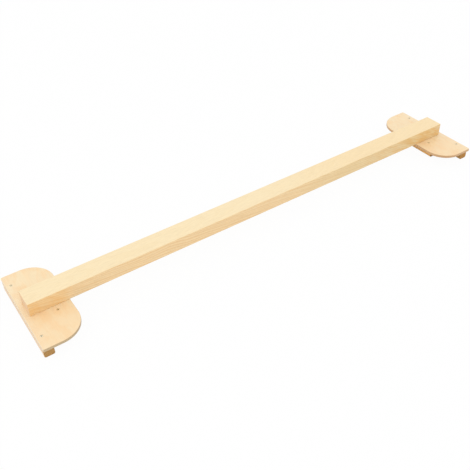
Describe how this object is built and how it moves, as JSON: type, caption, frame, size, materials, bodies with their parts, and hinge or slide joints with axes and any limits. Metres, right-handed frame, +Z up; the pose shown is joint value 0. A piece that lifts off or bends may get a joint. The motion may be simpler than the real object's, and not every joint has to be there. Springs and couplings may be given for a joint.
{
  "type": "pull up bar",
  "caption": "Long rectangular wooden bar on plywood end plates with battens beneath, which drop over two rails or panels to hold it across a gap for hanging and pulling up.",
  "frame": {"origin": "on the floor under the middle of the beam, level with the undersides of the battens", "axes": "+X along the beam to the right end as pictured, +Y across it to the rear, +Z up"},
  "size_m": [1.5, 0.305, 0.0795],
  "materials": {
    "beam_timber": "sanded, clear satin lacquer",
    "birch_plywood": "sanded, clear satin lacquer",
    "batten_timber": "sanded, clear satin lacquer",
    "zinc_screw": "zinc plated"
  },
  "bodies": {
    "root": {"grip_beam": "beam_timber", "left_end_plate": "birch_plywood", "left_outer_batten": "batten_timber", "left_inner_batten": "batten_timber", "left_outer_batten_screw_front": "zinc_screw", "left_outer_batten_screw_rear": "zinc_screw", "left_inner_batten_screw_front": "zinc_screw", "left_inner_batten_screw_rear": "zinc_screw", "left_beam_screw_channel_front": "zinc_screw", "left_beam_screw_channel_rear": "zinc_screw", "left_beam_screw_lip_front": "zinc_screw", "left_beam_screw_lip_rear": "zinc_screw", "right_end_plate": "birch_plywood", "right_outer_batten": "batten_timber", "right_inner_batten": "batten_timber", "right_outer_batten_screw_front": "zinc_screw", "right_outer_batten_screw_rear": "zinc_screw", "right_inner_batten_screw_front": "zinc_screw", "right_inner_batten_screw_rear": "zinc_screw", "right_beam_screw_channel_front": "zinc_screw", "right_beam_screw_channel_rear": "zinc_screw", "right_beam_screw_lip_front": "zinc_screw", "right_beam_screw_lip_rear": "zinc_screw"}
  },
  "joints": []
}
